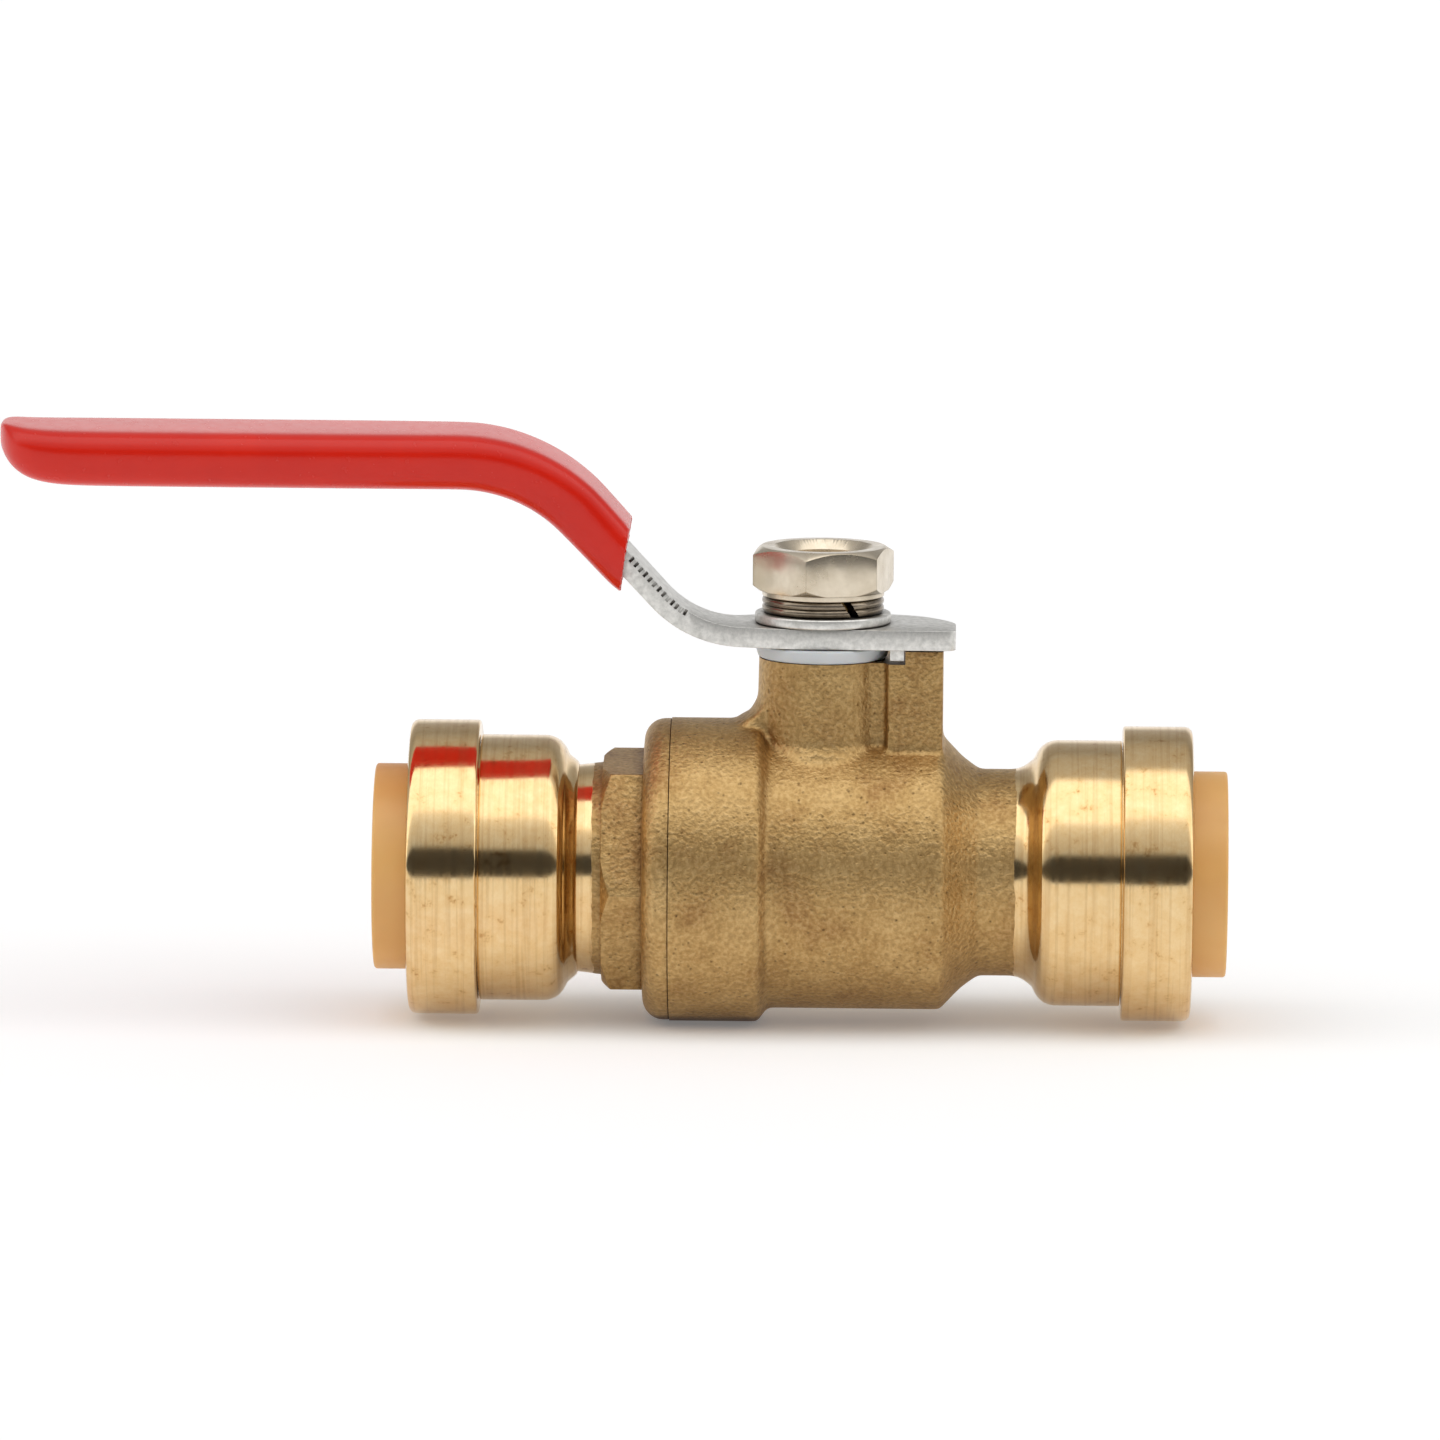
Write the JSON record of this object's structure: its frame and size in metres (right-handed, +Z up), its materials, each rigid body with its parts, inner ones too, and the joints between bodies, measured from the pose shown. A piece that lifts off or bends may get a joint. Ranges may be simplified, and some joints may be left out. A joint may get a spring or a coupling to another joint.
{
  "type": "push-to-connect ball valve",
  "caption": "Quarter-turn brass ball valve with push-to-connect tube sockets at both ends and a cranked steel lever in a red vinyl sleeve.",
  "frame": {"origin": "where the pipe axis crosses the stem axis, at the centre of the ball", "axes": "+X along the pipe axis towards the one-piece socket of the body, +Z up the stem, lever along -X when open"},
  "size_m": [0.1228, 0.0304, 0.0595],
  "materials": {
    "forged_brass": "hot-forged yellow brass, fine blasted grain on the outside, machined and bright at the two sockets",
    "turned_brass": "turned and polished yellow brass with fine turning marks",
    "stem_brass": "turned brass, fine turning marks",
    "chrome_plate": "hard chrome plate on a brass ball, mirror smooth",
    "zinc_plated_steel": "pressed steel sheet, bright zinc plated, lightly rolled grain",
    "nickel_plate": "nickel-plated nut and washers, warm bright metal",
    "stainless_steel": "stamped stainless spring steel",
    "red_vinyl": "dipped red vinyl sleeve, satin gloss",
    "ptfe": "white PTFE, waxy",
    "nitrile_rubber": "black rubber seals",
    "tan_acetal": "tan moulded acetal, slightly translucent"
  },
  "bodies": {
    "valve_body": {"body": "forged_brass", "end_cap": "forged_brass", "cap_oring": "nitrile_rubber", "seat_left": "ptfe", "seat_right": "ptfe", "lever_washer": "ptfe", "retainer_ring_left": "turned_brass", "grab_ring_left": "stainless_steel", "spacer_ring_left": "tan_acetal", "tube_oring_left": "nitrile_rubber", "retainer_ring_right": "turned_brass", "grab_ring_right": "stainless_steel", "spacer_ring_right": "tan_acetal", "tube_oring_right": "nitrile_rubber"},
    "lever_and_stem": {"stem": "stem_brass", "stem_thrust_washer": "ptfe", "stem_oring_lower": "nitrile_rubber", "stem_oring_upper": "nitrile_rubber", "lever": "zinc_plated_steel", "grip": "red_vinyl", "flat_washer": "zinc_plated_steel", "lock_washer": "nickel_plate", "handle_nut": "nickel_plate"},
    "ball": {"ball": "chrome_plate"},
    "left_release_collar": {"release_collar_left": "tan_acetal"},
    "right_release_collar": {"release_collar_right": "tan_acetal"}
  },
  "joints": [
    {"name": "lever_turn", "type": "hinge", "parent": "valve_body", "child": "lever_and_stem", "pos_m": [0, 0, 0], "axis": [0, 0, 1], "range_deg": [-90, 0]},
    {"name": "ball_turn", "type": "hinge", "parent": "valve_body", "child": "ball", "pos_m": [0, 0, 0], "axis": [0, 0, 1], "range_deg": [-90, 0]},
    {"name": "left_collar_push", "type": "slide", "parent": "valve_body", "child": "left_release_collar", "axis": [1, 0, 0], "range_m": [0, 0.0017], "stiffness_N_per_m": 300},
    {"name": "right_collar_push", "type": "slide", "parent": "valve_body", "child": "right_release_collar", "axis": [-1, 0, 0], "range_m": [0, 0.0017], "stiffness_N_per_m": 300}
  ],
  "couplings": [
    {"joint": "ball_turn", "follows": "lever_turn", "ratio": 1}
  ]
}
